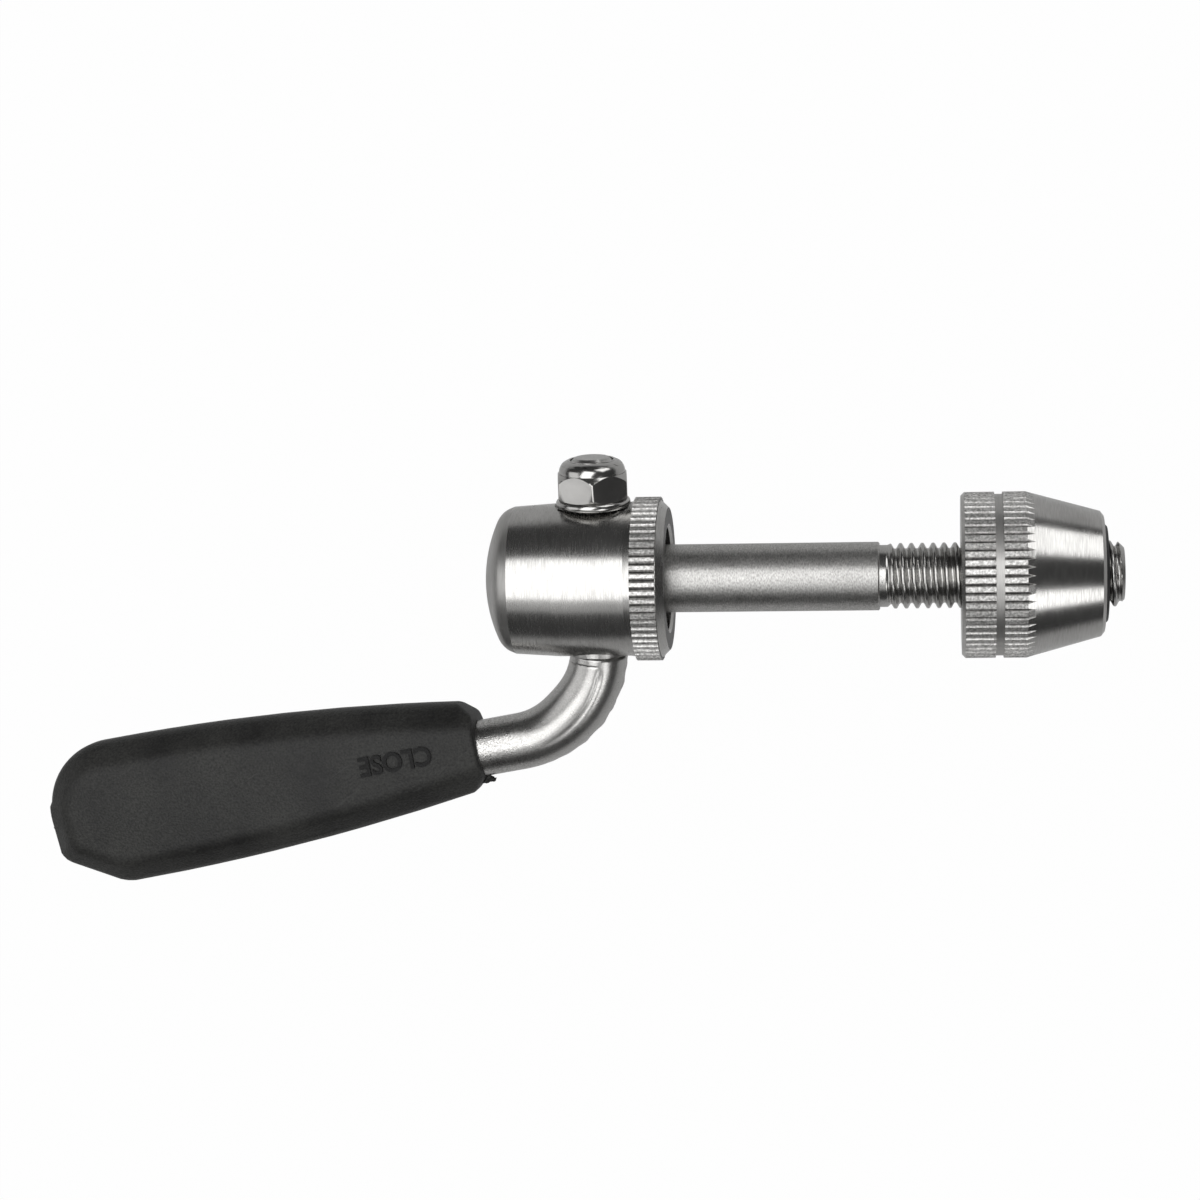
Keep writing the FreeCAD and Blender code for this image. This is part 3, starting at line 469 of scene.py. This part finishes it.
rod_steel = zinc_steel(
    "zinc_plated_forging", grain=(0.2, 0.2, 0.2), plain="#b5b4b2", dull="#82817f", bright="#cccbc9",
    span=(-22.0, -14.0), depth=(1.0, 0.3), rough=(0.27, 0.29))
rod = merged_copy("lever_rod")
cut_off(rod, pivot_foot - (JOURNAL_END - 0.01 * MM) * pivot_way, -pivot_way)
close_holes(rod)
rod.from_mesh(forged_rod())
close_holes(rod)
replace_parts(new_piece("forged_lever_rod", rod, rod_steel, "lever"), "lever_rod")

# Grip
# Black plastic moulded over the rod, with soft edges and a fine moulded grain. The word that says which
# way the lever is pushed stands on its face in low relief, and the mould left a nib of flash at each end.
ROD_FREE = 4.8 * MM
GRIP_TWIST = math.radians(8.0)
GRIP_OFFSET = 0.5 * MM
FACE_HEIGHT = 4.3 * MM
EDGE_ROUND = 1.0 * MM
EDGE_STEPS = 4
FLAT_TURN = math.radians(1.0)
EDGE_TURN = math.radians(20.0)
SOCKET_EDGE = ROD_RADIUS + 0.2 * MM
MOUTH_DEPTH = 2.5 * MM
MOUTH_SHARE = 0.5
WORD_SIZE = Vector((8.9, 2.4)) * MM
WORD_PLACE = Vector((-9.82, 0.29)) * MM
WORD_WEIGHT = 0.024
WORD_RELIEF = 0.28 * MM
MOULD_GRAIN = 0.25 * MM
MOULD_RELIEF = 0.08 * MM
RUB_SIZE = 9.0 * MM
SCRATCH_SIZE = (11.0 * MM, 0.35 * MM, 0.35 * MM)
SCRATCH_TURN = math.radians(35)
# Place and half size in millimetres, and seed, of each nib of flash: two at the mouth and one at the tip
NIBS = [
    ((-0.25, -4.15, 0.4), (0.9, 0.5, 0.35), 3.0),
    ((0.45, -4.4, 0.3), (0.45, 0.25, 0.2), 5.0),
    ((-54.2, -1.0, 0.0), (0.45, 0.7, 0.35), 8.0),
]


def moulded_plastic(name, dark, pale, shine):
    """Black moulded nylon: a fine grain from the mould, greyer where handling has rubbed and scratched it.

    The grain is drawn at 0.25 mm, coarser than real, so that it shows.
    """
    material, tree, shader = new_material(name)
    place = add_node(tree, "ShaderNodeTexCoord", {}).outputs["Object"]
    grain = add_node(tree, "ShaderNodeTexNoise",
                     {"Vector": place, "Scale": 1 / MOULD_GRAIN, "Detail": 3.0}).outputs["Fac"]
    rubbed = add_node(tree, "ShaderNodeTexNoise",
                      {"Vector": place, "Scale": 1 / RUB_SIZE, "Detail": 5.0}).outputs["Fac"]
    drawn = add_node(tree, "ShaderNodeMapping", {
        "Vector": place, "Rotation": (0.0, 0.0, SCRATCH_TURN), "Scale": SCRATCH_SIZE},
        vector_type="TEXTURE").outputs[0]
    strokes = add_node(tree, "ShaderNodeTexNoise",
                       {"Vector": drawn, "Scale": 1.0, "Detail": 1.0}).outputs["Fac"]
    scratched = add_node(tree, "ShaderNodeMapRange",
                         {"Value": strokes, "From Min": 0.69, "From Max": 0.8, "To Max": 0.35}).outputs[0]
    bump = add_node(tree, "ShaderNodeBump",
                    {"Height": grain, "Strength": 1.0, "Distance": MOULD_RELIEF}).outputs[0]
    rough = add_node(tree, "ShaderNodeMapRange", {
        "Value": rubbed, "From Min": 0.3, "From Max": 0.7, "To Min": 0.44, "To Max": 0.54}).outputs[0]
    worn = add_node(tree, "ShaderNodeMath", {0: grain, 1: rubbed}, operation="MULTIPLY").outputs[0]
    worn = add_node(tree, "ShaderNodeMapRange", {"Value": worn, "From Min": 0.12, "From Max": 0.4}).outputs[0]
    tint = add_node(tree, "ShaderNodeMix",
                    {"Factor": worn, "A": linear(dark), "B": linear(pale)}, data_type="RGBA")
    tint = add_node(tree, "ShaderNodeMix",
                    {"Factor": scratched, "A": tint.outputs[2], "B": linear("#4a4a49")}, data_type="RGBA")
    tree.links.new(tint.outputs[2], shader.inputs["Base Color"])
    tree.links.new(rough, shader.inputs["Roughness"])
    tree.links.new(bump, shader.inputs["Normal"])
    shader.inputs["Specular IOR Level"].default_value = shine
    return material


def softened(node, width, weigh):
    """A CAD piece with its edges rounded, each by a share of the width that a function gives."""
    work = merged_copy(node)
    bmesh.ops.dissolve_limit(work, angle_limit=FLAT_TURN, verts=work.verts, edges=work.edges)
    weights = work.edges.layers.float.new("bevel_weight_edge")
    for edge in work.edges:
        if edge.is_manifold and edge.calc_face_angle() > EDGE_TURN:
            edge[weights] = weigh((edge.verts[0].co + edge.verts[1].co) / 2)
    mesh = bpy.data.meshes.new(node + "_soft")
    work.to_mesh(mesh)
    work.free()
    holder = bpy.data.objects.new(node + "_soft", mesh)
    bpy.context.scene.collection.objects.link(holder)
    bevel = holder.modifiers.new("soft_edges", "BEVEL")
    bevel.width = width
    bevel.segments = EDGE_STEPS
    bevel.limit_method = "WEIGHT"
    bevel.use_clamp_overlap = False
    work = bmesh.new()
    work.from_mesh(holder.evaluated_get(bpy.context.evaluated_depsgraph_get()).data)
    bpy.data.objects.remove(holder)
    return work


def grip_edge(place):
    """The grip's mouth is sharper than its other edges, and the socket's edge stays as cut."""
    local = grip_place.inverted() @ place
    from_rod = math.hypot(local.y + GRIP_OFFSET, local.z)
    if from_rod < SOCKET_EDGE:
        return 0.0
    return MOUTH_SHARE if local.x > -MOUTH_DEPTH else 1.0


def nib(work, place, size, seed):
    """A ragged bit of flash: a small ball, stretched and roughened."""
    ball = bmesh.ops.create_icosphere(work, subdivisions=3, radius=1.0)
    for vert in ball["verts"]:
        ragged = 1.0 + 0.7 * noise.noise(vert.co * 1.7 + Vector((seed, 0, 0)))
        vert.co = grip_place @ (place + Vector(a * b for a, b in zip(vert.co * ragged, size)))


grip_plastic = moulded_plastic("moulded_black_plastic", dark="#111111", pale="#343432", shine=0.32)
# Painted shade: the raised letters are coloured darker than the grip, standing in for the shade along their
# edges.
letter_plastic_painted_shade = moulded_plastic("black_plastic_painted_shade", dark="#0a0a0a", pale="#151515", shine=0.23)
twist = Matrix.Rotation(-GRIP_TWIST, 3, rod_way)
grip_face = twist @ face_way
grip_across = grip_face.cross(rod_way)
grip_place = Matrix((rod_way, grip_across, grip_face)).transposed().to_4x4()
bend_end = rod_section(BEND_RADIUS * bend_turn)[0]
grip_place.translation = bend_end - ROD_FREE * rod_way + GRIP_OFFSET * grip_across
grip = new_piece("grip", softened("lever_grip", EDGE_ROUND, grip_edge), grip_plastic, "lever",
                 crease=40.0)
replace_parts(grip, "lever_grip")

word = bpy.data.curves.new("close_word", "FONT")
word.body = "CLOSE"
word.offset = WORD_WEIGHT
word.align_x = "CENTER"
word.align_y = "CENTER"
word_object = bpy.data.objects.new("close_word", word)
bpy.context.scene.collection.objects.link(word_object)
letters = bmesh.new()
letters.from_mesh(word_object.evaluated_get(bpy.context.evaluated_depsgraph_get()).to_mesh())
bpy.data.objects.remove(word_object)
raised = bmesh.ops.extrude_face_region(letters, geom=letters.faces)
top = [item for item in raised["geom"] if isinstance(item, bmesh.types.BMVert)]
bmesh.ops.translate(letters, verts=top, vec=(0, 0, 1))
lows = Vector(min(vert.co[axis] for vert in letters.verts) for axis in range(3))
highs = Vector(max(vert.co[axis] for vert in letters.verts) for axis in range(3))
middle = (lows + highs) / 2
fit = Matrix.Diagonal((WORD_SIZE.x / (highs.x - lows.x), WORD_SIZE.y / (highs.y - lows.y), WORD_RELIEF, 1))
upside_down = Matrix.Rotation(math.pi, 4, "Z") @ fit @ Matrix.Translation((-middle.x, -middle.y, 0))
on_face = grip_place @ Matrix.Translation((WORD_PLACE.x, WORD_PLACE.y, FACE_HEIGHT)) @ upside_down
bmesh.ops.transform(letters, matrix=on_face, verts=letters.verts)
new_piece("grip_lettering", letters, letter_plastic_painted_shade, "lever")

flash = bmesh.new()
for nib_place, half_size, seed in NIBS:
    nib(flash, Vector(nib_place) * MM, Vector(half_size) * MM, seed)
new_piece("grip_flash", flash, grip_plastic, "lever", crease=60.0)

# Lock nut and washer
# A bright zinc plated M5 nut whose collar is rolled over a ring of nylon, on a plain washer. It keeps the
# rod in the barrel and leaves it free to turn.
COLLAR_FOOT = 12.9 * MM
HEX_CORNER = 4.5 * MM
HEX_SHARE = 0.25
BORE_EDGE = 2.9 * MM
NUT_ROUND = 0.5 * MM
WASHER_ROUND = 0.2 * MM
NYLON_MARK = 0.4 * MM
NYLON_RELIEF = 0.02 * MM


def from_pivot(place):
    """Height along the pivot and distance from it."""
    arm = place - pivot_foot
    height = arm.dot(pivot_way)
    return height, (arm - height * pivot_way).length


def nut_edge(place):
    """The collar's rim is rolled round and the hexagon's corners are broken. Other edges stay sharp."""
    height, radius = from_pivot(place)
    if radius > HEX_CORNER:
        return HEX_SHARE
    return 1.0 if height > COLLAR_FOOT and radius > BORE_EDGE else 0.0


def washer_edge(place):
    """The washer's rim is worn round, and the edge of its hole stays sharp."""
    return 1.0 if from_pivot(place)[1] > BORE_EDGE else 0.0


bright_zinc = zinc_steel(
    "bright_zinc", grain=(0.6, 0.6, 0.6), plain="#b0afad", dull="#a3a2a0", bright="#bab9b7",
    span=(-12.0, -5.0), depth=(0.1, 0.1), rough=(0.19, 0.19))
lock_nut = new_piece("soft_lock_nut", softened("lock_nut", NUT_ROUND, nut_edge), bright_zinc, "lever",
                     crease=25.0)
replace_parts(lock_nut, "lock_nut")
washer = new_piece("soft_lock_washer", softened("lock_washer", WASHER_ROUND, washer_edge), bright_zinc,
                   "lever", crease=40.0)
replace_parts(washer, "lock_washer")


def nylon(name, colour, shade):
    """Nylon turned or cut to a ring: slightly waxy, with faint tool marks."""
    material, tree, shader = new_material(name)
    place = add_node(tree, "ShaderNodeTexCoord", {}).outputs["Object"]
    marks = add_node(tree, "ShaderNodeTexNoise",
                     {"Vector": place, "Scale": 1 / NYLON_MARK, "Detail": 3.0}).outputs["Fac"]
    tint = add_node(tree, "ShaderNodeMix",
                    {"Factor": marks, "A": linear(colour), "B": linear(shade)}, data_type="RGBA")
    bump = add_node(tree, "ShaderNodeBump",
                    {"Height": marks, "Strength": 0.4, "Distance": NYLON_RELIEF}).outputs[0]
    tree.links.new(tint.outputs[2], shader.inputs["Base Color"])
    tree.links.new(bump, shader.inputs["Normal"])
    shader.inputs["Roughness"].default_value = 0.5
    shader.inputs["IOR"].default_value = 1.53
    return material


finish_node("lock_nut_insert", nylon("grey_nylon", colour="#5d5d5e", shade="#747475"))

# Adjusting nut
# Turned from the same bar as the barrel: two knurled bands with a groove between them for the fingers,
# a cone that is brushed in the lathe, and a black nylon ring pressed in its end so that it holds its setting.
NUT_KNURL = [(34.2, 37.62), (38.58, 41.15)]
NUT_NOTCH = 0.26
NUT_RUNOUT = (41.15, 42.08)
NUT_GROOVE = (37.62, 38.58)
finish_node("adjusting_nut", turned_steel(
    "turned_steel_nut", NUT_KNURL, NUT_NOTCH, NUT_RUNOUT, NUT_GROOVE, roughness=0.2, brush=0.014))
finish_node("adjusting_nut_insert", nylon("black_nylon", colour="#161617", shade="#212122"))

# Table
# A plain pale sheet under the clamp, as far below it as the lever reaches, so that it clears the lever's
# whole turn. Seen directly it is near white, with a soft shadow, and the metal shows a little of that white.
TABLE_HALF = 3.0
SEEN_WHITE = 0.98
GLOSSED_WHITE = 0.05
lever_reach = -cad_box[0][0]
table_top = -lever_reach
signs = [(-1, -1), (1, -1), (1, 1), (-1, 1)]
table_mesh = bpy.data.meshes.new("table")
table_mesh.from_pydata([(x * TABLE_HALF, y * TABLE_HALF, table_top) for x, y in signs], [], [(0, 1, 2, 3)])
table = bpy.data.objects.new("table", table_mesh)
bpy.context.scene.collection.objects.link(table)
paper, paper_tree, paper_shader = new_material("pale_paper")
paper_shader.inputs["Base Color"].default_value = linear("#d2d2d2")
paper_shader.inputs["Roughness"].default_value = 0.9
rays = add_node(paper_tree, "ShaderNodeLightPath", {}).outputs
seen = add_node(paper_tree, "ShaderNodeMath",
                {0: rays["Is Camera Ray"], 1: rays["Is Transmission Ray"]}, operation="MAXIMUM")
glossed = add_node(paper_tree, "ShaderNodeMath",
                   {0: rays["Is Glossy Ray"], 1: GLOSSED_WHITE}, operation="MULTIPLY")
lit = add_node(paper_tree, "ShaderNodeMath", {0: seen.outputs[0], 1: SEEN_WHITE}, operation="MULTIPLY")
share = add_node(paper_tree, "ShaderNodeMath",
                 {0: lit.outputs[0], 1: glossed.outputs[0]}, operation="MAXIMUM")
white = add_node(paper_tree, "ShaderNodeEmission", {"Color": (1, 1, 1, 1), "Strength": 1.0})
blend = add_node(paper_tree, "ShaderNodeMixShader",
                 {0: share.outputs[0], 1: paper_shader.outputs[0], 2: white.outputs[0]})
paper_tree.links.new(blend.outputs[0], paper_tree.nodes["Material Output"].inputs["Surface"])
table_mesh.materials.append(paper)

# Light
# One broad soft panel overhead, a weak one before it, a smaller one at each right-hand corner and one at the
# left, in a dim room, so that the round metal shows a bright band between dark ones.
ROOM_LEVEL = 0.06


def soft_panel(name, direction, distance, size, radiance):
    """A rectangular panel that faces the clamp from a direction."""
    lamp = bpy.data.lights.new(name, "AREA")
    lamp.shape = "RECTANGLE"
    lamp.size, lamp.size_y = size
    lamp.energy = radiance * math.pi * size[0] * size[1]
    panel = bpy.data.objects.new(name, lamp)
    way = Vector(direction).normalized()
    panel.location = way * distance
    panel.rotation_euler = way.to_track_quat("Z", "Y").to_euler()
    panel.visible_camera = False
    bpy.context.scene.collection.objects.link(panel)


soft_panel("overhead_panel", (-0.2, 0.06, 1.0), 0.6, (0.66, 0.42), 2.7)
soft_panel("front_panel", (-0.2, -0.7, 1.0), 0.7, (0.6, 0.3), 0.55)
soft_panel("right_back_panel", (0.6, 0.8, 0.5), 0.7, (0.38, 0.45), 2.25)
soft_panel("right_front_panel", (0.5, -0.55, 0.7), 0.7, (0.3, 0.3), 2.6)
soft_panel("left_panel", (-0.9, 0.0, 0.5), 0.7, (0.5, 0.5), 1.15)
room = bpy.data.worlds.new("dim_room")
room.use_nodes = True
room_tree = room.node_tree
room_rays = add_node(room_tree, "ShaderNodeLightPath", {}).outputs
room_level = add_node(room_tree, "ShaderNodeMapRange",
                      {"Value": room_rays["Is Camera Ray"], "To Min": ROOM_LEVEL, "To Max": 1.0})
room_tree.nodes["Background"].inputs["Color"].default_value = (1, 1, 1, 1)
room_tree.links.new(room_level.outputs[0], room_tree.nodes["Background"].inputs["Strength"])
bpy.context.scene.world = room
bpy.context.scene.view_settings.view_transform = "Standard"

# Camera
# It looks almost straight down, from a little to the right and behind, as the photograph was taken.
PICTURE = 1200
FOCAL_PIXELS = 2745
SENSOR = 36.0
SIDE_TILT = math.radians(6.9)
BACK_TILT = math.radians(3.4)
ROLL = math.radians(0.6)
FACE_CENTRE_PIXEL = Vector((669.7, 578.4))
FACE_CENTRE_DEPTH = 321.05 * MM
back = Vector((math.sin(SIDE_TILT), math.sin(BACK_TILT), 0))
back.z = math.sqrt(1 - back.length_squared)
right = (skewer_way - skewer_way.dot(back) * back).normalized()
right = Matrix.Rotation(-ROLL, 3, back) @ right
up = back.cross(right)
offset = (FACE_CENTRE_PIXEL - Vector((PICTURE, PICTURE)) / 2) * FACE_CENTRE_DEPTH / FOCAL_PIXELS
lens = bpy.data.cameras.new("camera")
lens.sensor_width = SENSOR
lens.lens = FOCAL_PIXELS / PICTURE * SENSOR
lens.clip_start = 0.01
camera = bpy.data.objects.new("camera", lens)
view = Matrix((right, up, back)).transposed().to_4x4()
view.translation = back * FACE_CENTRE_DEPTH - right * offset.x + up * offset.y
camera.matrix_world = view
bpy.context.scene.collection.objects.link(camera)
bpy.context.scene.camera = camera
